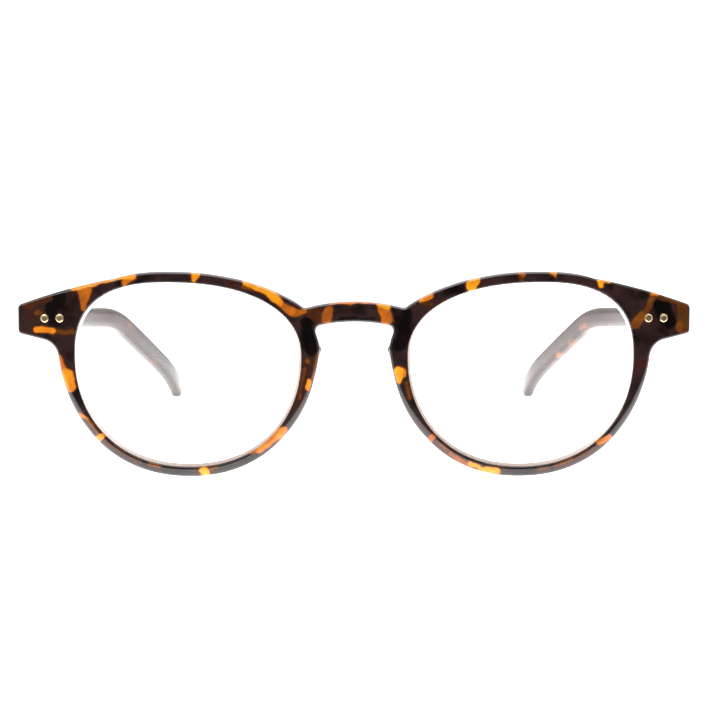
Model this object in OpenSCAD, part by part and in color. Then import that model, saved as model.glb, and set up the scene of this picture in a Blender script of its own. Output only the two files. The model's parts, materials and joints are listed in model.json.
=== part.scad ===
// Folding reading glasses: a plastic front with two lenses, and two temples on riveted hinges.
// Millimetres. X runs to the wearer's left, Y from the front back to the temple tips, Z up.
// The glasses stand open on a table, on their two rims and their two temple tips.
// Most pieces are drawn for the wearer's left and mirrored for the right.

/* [Lenses] */
// Width of one lens opening
lens_w = 48.3; // [38:0.1:60]
// Height of one lens opening
lens_h = 38.8; // [31:0.1:48]
// Height of the widest place above the middle of the opening
wide_z = 3.8; // [0:0.1:6]
// How far the highest place of the opening lies outward from its middle
crown_shift = 3.5; // [0:0.1:6]
// Squareness of the upper outer corner, where 2 is an ellipse
outer_corner = 2.53; // [2:0.01:3.2]
// Squareness of the upper inner corner
inner_corner = 2.26; // [2:0.01:3.2]
// Squareness of the lower half
lower_corner = 2.17; // [2:0.01:3.2]
// Radius of the lens's front surface
lens_front_r = 130; // [110:1:170]
// Radius of the lens's back surface, which is flatter and so magnifies
lens_back_r = 195; // [160:1:300]
// Thickness of the lens at its middle
lens_mid_t = 2.3; // [2.1:0.05:2.6]
// Depth of the groove that holds the lens's edge
groove_depth = 0.6; // [0.3:0.05:0.8]
// How much wider the opening is behind the lens than in front of it
back_relief = 0.25; // [0:0.05:0.4]

/* [Front] */
// Width of the rim around a lens
rim_w = 2.2; // [1.7:0.1:3]
// Thickness of the front, from its face to its back
front_t = 4; // [3.7:0.1:5]
// Gap between the two lens openings
lens_gap = 22.3; // [18:0.1:27]
// Radius of the face curve that the whole front follows
face_r = 300; // [240:5:400]
// Height of the bridge bar
bridge_h = 4.2; // [3.5:0.1:5.4]
// Height of the bridge's top above the middle of the lenses
bridge_z = 15.5; // [13:0.1:16]
// Radius of the arch along the bridge's top
bridge_r = 38.3; // [32:0.1:60]
// How far the lug reaches out past the rim
lug_reach = 9.8; // [8.4:0.1:12]
// Height of the lug at its outer end
lug_h = 6; // [5.2:0.1:7]
// Height of the lug's middle above the middle of the lenses
lug_z = 11.35; // [9:0.05:12.5]
// Radius of the brow line that runs out along the lug's top
brow_r = 140; // [120:5:200]

/* [Hinges] */
// Radius of a hinge knuckle
knuckle_r = 1.4; // [1.2:0.05:1.7]
// Height of the hinge, over its three knuckles
hinge_h = 5.2; // [4.4:0.1:6.2]
// Thickness of a hinge leaf
leaf_t = 0.9; // [0.7:0.05:1.1]
// Diameter of the hinge screw's shank
screw_d = 1.2; // [1:0.05:1.45]
// Diameter of a rivet
rivet_d = 1.8; // [1.5:0.1:2.2]
// Distance between a leaf's two rivets
rivet_pitch = 3.3; // [2.7:0.1:4]
// How far the front's outer rivet lies inside the hinge axis
rivet_inset = 0.4; // [0:0.1:0.8]
// How far the front's rivets lie below the hinge's middle
rivet_drop = 0.35; // [0:0.05:0.6]
// Angle that the temples slope down from square to the front
pantoscopic = 5; // [0:0.5:8]

/* [Temples] */
// Length of a temple along its middle line
temple_length = 143; // [119:1:172]
// Thickness of the temple at the hinge
temple_t = 4; // [3.6:0.1:4.8]
// Height of the temple at the hinge
temple_h = 6.2; // [5.4:0.1:7.4]
// Thickness of the temple at its tip
tip_t = 2.8; // [2.6:0.1:3.8]
// Height of the temple at its tip
tip_h = 4.2; // [3.8:0.1:6]
// Bend down over the ear, in degrees
ear_bend = 20; // [12:1:28]
// Length of the temple behind the start of the ear bend
ear_length = 57; // [48:1:68]
// Diameter of the core wire inside a temple
core_d = 1.3; // [1:0.1:1.5]

/* [Clearances] */
// Radial play of the screw in the knuckles
screw_play = 0.04; // [0.02:0.01:0.08]
// Play around the lens, the leaves, the rivets and the core wire
seat_play = 0.03; // [0.02:0.01:0.06]
// Play between knuckles, and between the temple and the lug
hinge_play = 0.05; // [0.03:0.01:0.1]
// Space between a knuckle and the temple's inner face
knuckle_gap = 0.1; // [0.06:0.01:0.2]

/* [Hidden] */

LEFT = 1;
RIGHT = -1;
FINE = 240;          // facets of the large spheres and cylinders
ROUND = 48;          // facets of bores, rivets and knuckles
CORNER = 32;         // facets of an outline's round corners
EDGE_STEP = 6;       // degrees between points of the lens outline
REACH = 40;          // length of cutters that must pass right through

// Front: places derived from the driving sizes, in the front's own frame,
// where Y = 0 is the foremost line of the face and Z = 0 the middle of the lenses
lens_x = lens_gap / 2 + lens_w / 2;
lens_tilt = asin(lens_x / face_r);
lens_edge_x = lens_gap / 2 + lens_w;
front_half = lens_edge_x + rim_w + lug_reach;
lens_depth = -0.05;          // front vertex of the lens behind the face
lens_sag = lens_front_r - sqrt(lens_front_r * lens_front_r - lens_w * lens_w / 4);
relief_y = lens_depth + lens_sag + 0.5;     // starts within the lens's edge
lug_end_angle = 20;          // slope of the brow line at the lug's end
lug_arc = 8.6;               // sweep of the brow line over the lug
lug_under_slope = 13;        // slope of the lug's lower edge
lug_fillet = 3;
lug_corner = 0.7;
nose_fillet = 1.6;
bridge_half_angle = 21;

// Extra rim width around the lens, towards the nose and under the lug: angle, width
rim_swell = [
    [0, 1.3], [12, 1.3], [40, 0], [112, 0], [128, 0.35], [140, 0.9], [152, 1.9], [164, 1.7],
    [176, 2], [188, 1.1], [200, 0.6], [212, 0.2], [220, 0], [324, 0], [345, 0.5], [360, 1.3]
];

// Hinge: the axis stands this far behind the butt plane and inside the temple
axis_inset = knuckle_r + knuckle_gap;
hinge_x = front_half - temple_t - axis_inset;
butt_margin = 0.5;           // lug left behind the front's back before the butt plane
hinge_y = face_y(front_half) + front_t + butt_margin + axis_inset;
knuckle_h = (hinge_h - 2 * hinge_play) / 3;
rivet_tail_d = rivet_d * 0.6;
leaf_margin = rivet_d / 2 + 0.4;
head_d = 2 * knuckle_r - 0.6;
head_h = 0.6;
slot_w = 0.3;

// Temple: slopes along its length, as [distance from the butt, degrees]
leaf_zone = 22;              // the temple runs straight and even over the hinge leaf
bow_angle = 17;
ear_start = temple_length - ear_length;
ear_turn = 14;               // length of the ear bend
tail_length = 18;            // last stretch, which straightens out again
bow = [
    [0, 0], [leaf_zone, 0], [2 * leaf_zone, 2], [ear_start, bow_angle],
    [temple_length - tail_length, bow_angle - 2], [temple_length, 2]
];
drop = [
    [0, 0], [ear_start, 0], [ear_start + ear_turn, ear_bend],
    [temple_length - tail_length, ear_bend], [temple_length, ear_bend + 5]
];
thickness = [[0, temple_t], [leaf_zone, temple_t], [70, tip_t + 0.3], [temple_length, tip_t]];
height = [[0, temple_h], [leaf_zone, temple_h], [70, tip_h + 0.4], [temple_length, tip_h]];
ring_step = 4;
tip_round = 2.4;             // length of the rounded end
tip_rings = [0.35, 0.6, 0.8, 0.93, 1];      // places of its rings, as shares of that length
tip_flat = 0.06;             // keeps the last ring from closing to a point
edge_share = 0.32;           // corner radius of a temple's section, as a share of its thickness
core_start = 0.5;
core_end = temple_length - 12;
core_low = -1.9;             // the core wire passes this far below the rivets
core_height = [[0, core_low], [leaf_zone, core_low], [2 * leaf_zone, 0], [temple_length, 0]];
butt = [axis_inset + temple_t / 2, hinge_play - axis_inset, 0];   // middle of the butt face

// Stance: the front leans so that rims and temple tips share one table
rim_bottom = [face_y(lens_x) + front_t, -(lens_h / 2 + rim_w)];
tip_start = temple_length - tip_round;      // where the rounded end begins
tip_slope = drop_at(tip_start) + pantoscopic;
tip_low = atan2(tip_round * sin(tip_slope), tip_h / 2 * cos(tip_slope));
tip_bottom = to_front(
    path(tip_start)[0]
        + along(tip_start) * tip_round * sin(tip_low)
        - path(tip_start)[2] * tip_h / 2 * cos(tip_low)
);
lean = atan2(tip_bottom.z - rim_bottom.y, tip_bottom.y - rim_bottom.x);
tip_end = to_front(path(temple_length)[0]);
bridge_under = [0, bridge_z - bridge_h];
foremost = stand(bridge_under).x;
rearmost = stand([tip_end.y, tip_end.z]).x;
lift = -stand(rim_bottom).y;

// Depth of the face at a distance from the middle of the front
function face_y(x) = face_r - sqrt(face_r * face_r - x * x);

// A depth and a height of the front's frame, once the front leans back
function stand(p) = [p.x * cos(lean) + p.y * sin(lean), p.y * cos(lean) - p.x * sin(lean)];

// A point of the left temple's frame, in the front's frame
function to_front(p) = [
    hinge_x + p.x,
    hinge_y + p.y * cos(pantoscopic) + p.z * sin(pantoscopic),
    lug_z + p.z * cos(pantoscopic) - p.y * sin(pantoscopic)
];

// A point of the lens opening at angle t, moved outward by grow:
// four superellipse quadrants that meet at the highest, lowest and widest places
function lens_point(t, grow) =
    let (
        up = sin(t) >= 0,
        out = cos(t) >= 0,
        n = up ? (out ? outer_corner : inner_corner) : lower_corner,
        mid_x = up ? crown_shift : 0,
        a = lens_w / 2 + (out ? -mid_x : mid_x),
        b = up ? lens_h / 2 - wide_z : lens_h / 2 + wide_z,
        c = abs(cos(t)),
        s = abs(sin(t)),
        nx = pow(c, 2 - 2 / n) / a,
        nz = pow(s, 2 - 2 / n) / b,
        k = grow / norm([nx, nz])
    )
    [
        mid_x + (out ? 1 : -1) * (a * pow(c, 2 / n) + k * nx),
        wide_z + (up ? 1 : -1) * (b * pow(s, 2 / n) + k * nz)
    ];

function lens_edge(grow) = [for (t = [0:EDGE_STEP:359]) lens_point(t, grow)];

// The rim's outer line as the front's plane sees it, with its swellings
function rim_edge() = [
    for (t = [0:EDGE_STEP:359])
        let (p = lens_point(t, rim_w + lookup(t, rim_swell)))
        [lens_x + p.x * cos(lens_tilt), p.y]
];

// Slopes of the temple at distance s from its butt
function bow_at(s) = lookup(s, bow);
function drop_at(s) = lookup(s, drop);
function along(s) = [
    -sin(bow_at(s)) * cos(drop_at(s)), cos(bow_at(s)) * cos(drop_at(s)), -sin(drop_at(s))
];

// Middle line of the temple in the temple's frame: the point at s and the two section axes
function walk(s, p = butt, at = 0) =
    at >= s ? p : let (h = min(1, s - at)) walk(s, p + h * along(at + h / 2), at + h);
function path(s) = [
    walk(s),
    [cos(bow_at(s)), sin(bow_at(s)), 0],
    [-sin(bow_at(s)) * sin(drop_at(s)), cos(bow_at(s)) * sin(drop_at(s)), cos(drop_at(s))]
];

// A rounded rectangle of 12 points, as [across, up]
function section(t, h, r) = [
    for (q = [[1, 1, 0], [-1, 1, 90], [-1, -1, 180], [1, -1, 270]])
        for (a = [0, 45, 90])
            [q[0] * (t / 2 - r) + r * cos(q[2] + a), q[1] * (h / 2 - r) + r * sin(q[2] + a)]
];

function placed(frame, shape) = [for (p = shape) frame[0] + p.x * frame[1] + p.y * frame[2]];

// The two end caps of a stack of rings of n points, and the side faces between them
function tube_faces(rings, n) = concat(
    [[for (i = [0:n - 1]) n - 1 - i]],
    [[for (i = [0:n - 1]) (rings - 1) * n + i]],
    [
        for (k = [0:rings - 2], i = [0:n - 1], half = [0, 1])
            let (a = k * n + i, b = k * n + (i + 1) % n)
            half == 0 ? [a, b, a + n] : [b, b + n, a + n]
    ]
);

module loft(rings) {
    n = len(rings[0]);
    polyhedron([for (ring = rings) each ring], tube_faces(len(rings), n), convexity = 6);
}

// Extrudes an outline drawn as [x, z] from depth y0 to depth y1
module plate(y0, y1) {
    translate([0, y1, 0])
        rotate([90, 0, 0])
            linear_extrude(y1 - y0)
                children();
}

module box_between(low, high) {
    translate(low)
        cube(high - low);
}

// Mirrors a left piece to the right
module on_side(side) {
    mirror([side == LEFT ? 0 : 1, 0, 0])
        children();
}

module both_sides() {
    for (side = [LEFT, RIGHT])
        on_side(side)
            children();
}

// Puts the front's frame on the table
module stance() {
    translate([0, -(foremost + rearmost) / 2, lift])
        rotate([-lean, 0, 0])
            children();
}

module lens_place() {
    translate([lens_x, face_y(lens_x), 0])
        rotate([0, 0, lens_tilt])
            children();
}

// The left hinge's frame: Z is the hinge axis, Y runs along the temple
module hinge_place() {
    translate([hinge_x, hinge_y, lug_z])
        rotate([-pantoscopic, 0, 0])
            children();
}

module face_cylinder(r) {
    translate([0, face_r, -REACH])
        cylinder(r = r, h = 2 * REACH, $fn = FINE);
}

// Fills inner corners of an outline with the radius r
module fillet_inside(r) {
    offset(r = -r, $fn = CORNER)
        offset(delta = r)
            children();
}

module round_outside(r) {
    offset(r = r, $fn = CORNER)
        offset(delta = -r)
            children();
}

// ---- Front ----

// Lug outline: the brow line above, the sloping lower edge below
module lug_outline() {
    end_top = [front_half, lug_z + lug_h / 2];
    centre = end_top - brow_r * [sin(lug_end_angle), cos(lug_end_angle)];
    brow = [
        for (i = [0:6])
            let (a = lug_end_angle - i * lug_arc / 6)
            centre + brow_r * [sin(a), cos(a)]
    ];
    root_x = lens_edge_x - lens_w / 4;
    end_z = lug_z - lug_h / 2;
    root_z = end_z - (front_half - root_x) * tan(lug_under_slope);
    polygon(concat(brow, [[root_x, root_z], [front_half, end_z]]));
}

module side_outline() {
    round_outside(lug_corner)
        fillet_inside(lug_fillet) {
            polygon(rim_edge());
            lug_outline();
        }
}

// Bridge outline: a band between two concentric arcs
module bridge_outline() {
    angles = [for (i = [-8:8]) i * bridge_half_angle / 8];
    centre = [0, bridge_z - bridge_r];
    under_r = bridge_r - bridge_h;
    polygon(concat(
        [for (a = angles) centre + bridge_r * [sin(a), cos(a)]],
        [for (a = angles) centre + under_r * [sin(-a), cos(a)]]
    ));
}

module front_outline() {
    fillet_inside(nose_fillet) {
        side_outline();
        mirror([1, 0, 0])
            side_outline();
        bridge_outline();
    }
}

// The opening in front of the lens, and its wider part behind the lens
module lens_hole() {
    lens_place() {
        plate(-REACH / 2, REACH / 2)
            polygon(lens_edge(0));
        plate(relief_y, REACH / 2)
            polygon(lens_edge(back_relief));
    }
}

// The lens's body, with play added all round it for its groove
module lens_body(play) {
    lens_place()
        difference() {
            intersection() {
                plate(-REACH / 4, REACH / 4)
                    polygon(lens_edge(groove_depth - seat_play + play));
                translate([0, lens_depth + lens_front_r, 0])
                    sphere(r = lens_front_r + play, $fn = FINE);
            }
            translate([0, lens_depth + lens_mid_t + lens_back_r, 0])
                sphere(r = lens_back_r - play, $fn = FINE);
        }
}

// Block that brings the lug's back to the butt plane of the temple
module lug_block() {
    intersection() {
        plate(face_y(front_half) + butt_margin / 2, hinge_y + REACH)
            side_outline();
        box_between(
            [lens_edge_x + rim_w / 2, 0, -REACH],
            [front_half + 1, hinge_y, REACH]
        );
    }
}

module behind_butt() {
    hinge_place()
        box_between([-axis_inset - leaf_zone, -axis_inset, -REACH], [REACH, REACH, REACH]);
}

module front_frame() {
    color([0.28, 0.13, 0.06])
        difference() {
            union() {
                difference() {
                    intersection() {
                        plate(0, hinge_y)
                            front_outline();
                        face_cylinder(face_r);
                    }
                    face_cylinder(face_r - front_t);
                }
                both_sides()
                    difference() {
                        lug_block();
                        behind_butt();
                    }
            }
            both_sides() {
                behind_butt();
                lens_hole();
                lens_body(seat_play);
                hinge_place()
                    leaf_pocket();
                front_rivet_holes();
            }
        }
}

module lens() {
    color([0.85, 0.93, 0.97, 0.5])
        lens_body(0);
}

// Pad bonded behind the rim on the nose side, on the front's own back surface
module nose_pad() {
    nose_x = lens_gap / 2;
    back_y = front_t;
    balls = [
        [nose_x - 2.2, back_y, 7.6, 1.1],
        [nose_x - 2.9, back_y + 0.4, 5.2, 1.3],
        [nose_x - 2.1, back_y + 3, 4.2, 1.2],
        [nose_x - 1.4, back_y + 4.2, 0.2, 1.2],
        [nose_x - 0.7, back_y + 2.6, -3.4, 1],
        [nose_x + 0.4, back_y + 0.4, -6, 1]
    ];
    color([0.2, 0.09, 0.04])
        intersection() {
            hull()
                for (b = balls)
                    translate([b[0], b[1], b[2]])
                        sphere(r = b[3], $fn = 20);
            face_cylinder(face_r - front_t);
        }
}

// ---- Hinge: drawn in the left hinge's frame ----

front_rivet_x = [-rivet_pitch - rivet_inset, -rivet_inset];
temple_rivet_y = [4.2, 4.2 + rivet_pitch];
leaf_half_h = hinge_h / 2;

// A rectangle with round corners standing on the butt plane
module front_leaf_plate(play) {
    low = [-rivet_pitch - rivet_inset - leaf_margin - play, -leaf_half_h - play];
    high = [knuckle_r - 0.2 + play, leaf_half_h + play];
    plate(-axis_inset - leaf_t, -axis_inset)
        translate(low)
            square(high - low);
}

module leaf_pocket() {
    front_leaf_plate(seat_play);
}

module knuckle(z0, z1) {
    translate([0, 0, z0])
        cylinder(r = knuckle_r, h = z1 - z0, $fn = ROUND);
}

module screw_bore() {
    translate([0, 0, -hinge_h])
        cylinder(r = screw_d / 2 + screw_play, h = 2 * hinge_h, $fn = ROUND);
}

module head_bore() {
    translate([0, 0, leaf_half_h - head_h])
        cylinder(r = head_d / 2 + screw_play, h = REACH, $fn = ROUND);
}

module on_front_leaf(x) {
    translate([x, -axis_inset - leaf_t, -rivet_drop])
        children();
}

// Rivet shape along Y: a shank in the plastic and a thin tail through the leaf
module rivet_shape(shank_length, play) {
    rotate([90, 0, 0]) {
        cylinder(r = rivet_d / 2 + play, h = shank_length, $fn = ROUND);
        translate([0, 0, -leaf_t])
            cylinder(r = rivet_tail_d / 2 + play, h = leaf_t, $fn = ROUND);
    }
}

module front_rivet_place(x) {
    hinge_place()
        on_front_leaf(x)
            children();
}

module front_rivet_holes() {
    for (x = front_rivet_x)
        front_rivet_place(x)
            rivet_shape(REACH, seat_play);
}

module front_hinge_leaf() {
    color([0.72, 0.72, 0.7])
        hinge_place()
            difference() {
                union() {
                    front_leaf_plate(0);
                    for (end = [-1, 1]) {
                        inner = end * (knuckle_h / 2 + hinge_play);
                        outer = end * leaf_half_h;
                        low_z = min(inner, outer);
                        high_z = max(inner, outer);
                        knuckle(low_z, high_z);
                        box_between(
                            [-knuckle_r, -axis_inset - leaf_t / 2, low_z],
                            [knuckle_r - 0.2, 0, high_z]
                        );
                    }
                }
                screw_bore();
                head_bore();
                for (x = front_rivet_x)
                    on_front_leaf(x)
                        rivet_shape(1, seat_play);
            }
}

// A front rivet ends flush with the curved face of the lug
module front_rivet(x) {
    color([0.83, 0.62, 0.27])
        intersection() {
            front_rivet_place(x)
                rivet_shape(REACH, 0);
            face_cylinder(face_r);
        }
}

module hinge_screw() {
    color([0.75, 0.75, 0.75])
        hinge_place()
            difference() {
                union() {
                    translate([0, 0, -leaf_half_h])
                        cylinder(r = screw_d / 2, h = hinge_h, $fn = ROUND);
                    translate([0, 0, leaf_half_h - head_h])
                        cylinder(r = head_d / 2, h = head_h, $fn = ROUND);
                }
                box_between(
                    [-head_d, -slot_w / 2, leaf_half_h - head_h / 2],
                    [head_d, slot_w / 2, leaf_half_h + 1]
                );
            }
}

// ---- Temple: drawn in the left hinge's frame ----

temple_leaf_start = -0.4;
temple_leaf_end = temple_rivet_y[1] + leaf_margin;

module temple_leaf_plate(play, inside) {
    box_between(
        [axis_inset - inside, temple_leaf_start - play, -leaf_half_h + 0.3 - play],
        [axis_inset + leaf_t, temple_leaf_end + play, leaf_half_h - 0.3 + play]
    );
}

module temple_rivet_place(y) {
    translate([axis_inset + leaf_t, y, 0])
        rotate([0, 0, 90])
            children();
}

module temple_hinge_leaf() {
    color([0.72, 0.72, 0.7])
        hinge_place()
            difference() {
                union() {
                    temple_leaf_plate(0, 0);
                    knuckle(-knuckle_h / 2, knuckle_h / 2);
                    box_between(
                        [0, temple_leaf_start, -knuckle_h / 2],
                        [axis_inset + leaf_t / 2, knuckle_r, knuckle_h / 2]
                    );
                }
                screw_bore();
                for (y = temple_rivet_y)
                    temple_rivet_place(y)
                        rivet_shape(1, seat_play);
            }
}

module temple_rivet(y) {
    color([0.83, 0.62, 0.27])
        hinge_place()
            temple_rivet_place(y)
                rivet_shape(temple_t - leaf_t, 0);
}

// Rings of the temple's body, with a rounded tip
function temple_ring(s, scale) =
    let (t = lookup(s, thickness) * scale, h = lookup(s, height) * scale)
    placed(path(s), section(t, h, min(t, h) * edge_share));

body_rings = ceil((tip_start - leaf_zone) / ring_step);

module temple_body() {
    loft(concat(
        [temple_ring(0, 1)],
        [
            for (i = [0:body_rings])
                temple_ring(leaf_zone + i * (tip_start - leaf_zone) / body_rings, 1)
        ],
        [
            for (f = tip_rings)
                temple_ring(tip_start + f * tip_round, sqrt(max(tip_flat, 1 - f * f)))
        ]
    ));
}

// The core wire, or with play added and start at -1 its channel, open at the butt
module core_shape(start, play) {
    r = core_d / 2 + play;
    steps = ceil((core_end - core_start) / ring_step);
    span = core_end - core_start + play;
    inside = [for (i = [0:steps]) core_start + i * span / steps];
    loft([
        for (s = concat([start], inside))
            let (up = lookup(s, core_height), ahead = [0, min(s, 0), 0])
            [
                for (p = placed(path(s), [for (a = [0:45:315]) [r * cos(a), r * sin(a) + up]]))
                    p + ahead
            ]
    ]);
}

module temple() {
    color([0.25, 0.12, 0.06])
        hinge_place()
            difference() {
                temple_body();
                core_shape(-1, seat_play);
                temple_leaf_plate(seat_play, 1);
                for (y = temple_rivet_y)
                    temple_rivet_place(y)
                        rivet_shape(REACH, seat_play);
            }
}

module core_wire() {
    color([0.7, 0.7, 0.7])
        hinge_place()
            core_shape(core_start / 2, 0);
}

// ---- Placing ----

module placed_on(side) {
    stance()
        on_side(side)
            children();
}

stance() front_frame();
placed_on(LEFT) lens();  // lens_left
placed_on(RIGHT) lens();  // lens_right
placed_on(LEFT) nose_pad();  // nose_pad_left
placed_on(RIGHT) nose_pad();  // nose_pad_right
placed_on(LEFT) front_hinge_leaf();  // front_hinge_leaf_left
placed_on(RIGHT) front_hinge_leaf();  // front_hinge_leaf_right
placed_on(LEFT) front_rivet(front_rivet_x[0]);  // front_rivet_inner_left
placed_on(LEFT) front_rivet(front_rivet_x[1]);  // front_rivet_outer_left
placed_on(RIGHT) front_rivet(front_rivet_x[0]);  // front_rivet_inner_right
placed_on(RIGHT) front_rivet(front_rivet_x[1]);  // front_rivet_outer_right
placed_on(LEFT) hinge_screw();  // hinge_screw_left
placed_on(RIGHT) hinge_screw();  // hinge_screw_right
placed_on(LEFT) temple();  // temple_left
placed_on(RIGHT) temple();  // temple_right
placed_on(LEFT) temple_hinge_leaf();  // temple_hinge_leaf_left
placed_on(RIGHT) temple_hinge_leaf();  // temple_hinge_leaf_right
placed_on(LEFT) temple_rivet(temple_rivet_y[0]);  // temple_rivet_fore_left
placed_on(LEFT) temple_rivet(temple_rivet_y[1]);  // temple_rivet_aft_left
placed_on(RIGHT) temple_rivet(temple_rivet_y[0]);  // temple_rivet_fore_right
placed_on(RIGHT) temple_rivet(temple_rivet_y[1]);  // temple_rivet_aft_right
placed_on(LEFT) core_wire();  // core_wire_left
placed_on(RIGHT) core_wire();  // core_wire_right
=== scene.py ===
"""Tortoiseshell reading glasses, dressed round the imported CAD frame.

Shapes are worked out in millimetres, in the two frames that the CAD uses: the front's own frame
(Y = 0 on the foremost line of the face, Z = 0 at the middle of the lenses) and the left hinge's frame
(Z along the hinge axis, Y along the temple). Blender gets metres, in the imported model's frame.
"""
import json
import math

import bmesh
import bpy
import numpy as np
from mathutils import Matrix, Vector


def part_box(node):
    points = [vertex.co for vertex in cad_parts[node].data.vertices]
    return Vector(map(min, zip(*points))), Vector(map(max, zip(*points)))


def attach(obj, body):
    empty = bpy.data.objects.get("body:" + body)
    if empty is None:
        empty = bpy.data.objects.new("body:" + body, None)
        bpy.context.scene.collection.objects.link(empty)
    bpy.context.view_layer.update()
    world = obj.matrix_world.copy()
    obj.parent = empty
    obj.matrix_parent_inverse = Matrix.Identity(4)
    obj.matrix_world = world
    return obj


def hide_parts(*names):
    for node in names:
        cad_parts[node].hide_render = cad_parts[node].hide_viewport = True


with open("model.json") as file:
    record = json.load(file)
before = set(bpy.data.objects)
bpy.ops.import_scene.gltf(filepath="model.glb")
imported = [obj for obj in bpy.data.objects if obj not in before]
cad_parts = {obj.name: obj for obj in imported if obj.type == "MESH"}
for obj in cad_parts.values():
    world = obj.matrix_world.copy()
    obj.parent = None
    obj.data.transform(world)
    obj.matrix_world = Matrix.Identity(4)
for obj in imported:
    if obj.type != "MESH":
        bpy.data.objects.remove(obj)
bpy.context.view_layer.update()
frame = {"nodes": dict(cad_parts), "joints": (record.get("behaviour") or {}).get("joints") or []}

MM = 0.001
LEFT = 1
RIGHT = -1
SIDES = {"left": LEFT, "right": RIGHT}

# ---- Driving sizes, in millimetres, the same as the CAD's ----
LENS_W = 48.3
LENS_H = 38.8
WIDE_Z = 3.8                # height of the opening's widest place
CROWN_SHIFT = 3.5           # how far the highest place lies outward
OUTER_CORNER = 2.53
INNER_CORNER = 2.26
LOWER_CORNER = 2.17
LENS_FRONT_R = 130
LENS_BACK_R = 195
LENS_MID_T = 2.3
LENS_DEPTH = -0.05
GROOVE_DEPTH = 0.57
RIM_W = 2.2
RIM_SWELL = [
    (0, 1.3), (12, 1.3), (40, 0), (112, 0), (128, 0.35), (140, 0.9), (152, 1.9), (164, 1.7),
    (176, 2), (188, 1.1), (200, 0.6), (212, 0.2), (220, 0), (324, 0), (345, 0.5), (360, 1.3),
]
FRONT_T = 4
LENS_GAP = 22.3
FACE_R = 300
BRIDGE_H = 4.2
BRIDGE_Z = 15.5
BRIDGE_R = 38.3
BRIDGE_HALF_ANGLE = 21
LUG_REACH = 9.8
LUG_H = 6
LUG_Z = 11.35
LUG_END_ANGLE = 20
LUG_ARC = 8.6
LUG_UNDER_SLOPE = 13
BROW_R = 140
LUG_FILLET = 3
LUG_CORNER = 0.7
NOSE_FILLET = 1.6
LUG_FILLET_FADE = (9, 13)   # heights between which the fillet under the lug gives way to the one above it
BROW_FILLET = 0.2
NOSE_FILLET_FADE = (11.5, 13)
NOTCH_FILLET = 0.7
BUTT_MARGIN = 0.5
KNUCKLE_R = 1.4
KNUCKLE_GAP = 0.1
HINGE_H = 5.2
LEAF_T = 0.9
RIVET_D = 1.8
RIVET_PITCH = 3.3
RIVET_INSET = 0.4
RIVET_DROP = 0.35
RIVET_MARGIN = 0.4          # leaf beyond its outermost rivet
TEMPLE_RIVET_AT = 4.2
TEMPLE_LEAF_START = -0.4
TEMPLE_LEAF_INSET = 0.3
PLAY = 0.03
PANTOSCOPIC = math.radians(5)
TEMPLE_LENGTH = 143
TEMPLE_T = 4
TEMPLE_H = 6.2
TIP_T = 2.8
TIP_H = 4.2
EAR_BEND = 20
EAR_LENGTH = 57
HINGE_PLAY = 0.05

LENS_X = LENS_GAP / 2 + LENS_W / 2
LENS_TILT = math.asin(LENS_X / FACE_R)
LENS_EDGE_X = LENS_GAP / 2 + LENS_W
FRONT_HALF = LENS_EDGE_X + RIM_W + LUG_REACH
AXIS_INSET = KNUCKLE_R + KNUCKLE_GAP
HINGE_X = FRONT_HALF - TEMPLE_T - AXIS_INSET


def face_y(x):
    """Depth of the face at a distance from the middle."""
    return FACE_R - np.sqrt(FACE_R ** 2 - np.square(x))


HINGE_Y = float(face_y(FRONT_HALF)) + FRONT_T + BUTT_MARGIN + AXIS_INSET

# ---- The CAD's frames, from its left hinge ----
hinge = next(j for j in frame["joints"] if j["name"] == "temple_left_fold")
HINGE_AT = np.array(hinge["pos_m"]) / MM
HINGE_TILT = math.atan2(hinge["axis"][1], hinge["axis"][2])
LEAN = HINGE_TILT - PANTOSCOPIC


def turned(points, angle):
    """Points turned about X, so that +Y dips by the angle."""
    c, s = math.cos(angle), math.sin(angle)
    x, y, z = np.moveaxis(np.asarray(points, float), -1, 0)
    return np.stack([x, y * c + z * s, z * c - y * s], -1)


FRONT_AT = HINGE_AT - turned([HINGE_X, HINGE_Y, LUG_Z], LEAN)


def front_to_row(points):
    return turned(points, LEAN) + FRONT_AT


def hinge_to_row(points):
    return turned(points, HINGE_TILT) + HINGE_AT


# ---- Camera: the photograph's, a little above and in front of the lenses ----
CAMERA_DISTANCE = 408
CAMERA_LIFT = math.radians(6.3)
VIEW_WIDTH = 150.2          # width seen at the front's foremost line
SENSOR = 36
front_low = np.array(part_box("front_frame")[0]) / MM
foremost = front_low[1]
lens_mid_z = front_low[2] + LENS_H / 2 + RIM_W
EYE_OFFSET = (-1.4, 1.95)   # where the line of sight meets the front, from the middle of the lenses
AIM_OFFSET = (1.15, 3.5)    # middle of the picture, from the middle of the lenses


def add_camera():
    sight = np.array([0, math.cos(CAMERA_LIFT), -math.sin(CAMERA_LIFT)])
    rise = np.array([0, math.sin(CAMERA_LIFT), math.cos(CAMERA_LIFT)])
    middle = np.array([0, foremost, lens_mid_z])
    eye = middle + [EYE_OFFSET[0], 0, 0] + rise * EYE_OFFSET[1] - sight * CAMERA_DISTANCE
    aim = middle + [AIM_OFFSET[0], 0, 0] + rise * AIM_OFFSET[1]
    data = bpy.data.cameras.new("camera")
    data.sensor_width = SENSOR
    data.lens = SENSOR * CAMERA_DISTANCE / VIEW_WIDTH
    data.clip_start = 0.01
    camera = bpy.data.objects.new("camera", data)
    bpy.context.scene.collection.objects.link(camera)
    camera.location = Vector(eye * MM)
    camera.rotation_euler = Vector((aim - eye) * MM).to_track_quat("-Z", "Y").to_euler()
    bpy.context.scene.camera = camera


# ---- Meshes ----
def mirrored(points, side):
    return np.asarray(points) * [side, 1, 1]


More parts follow.
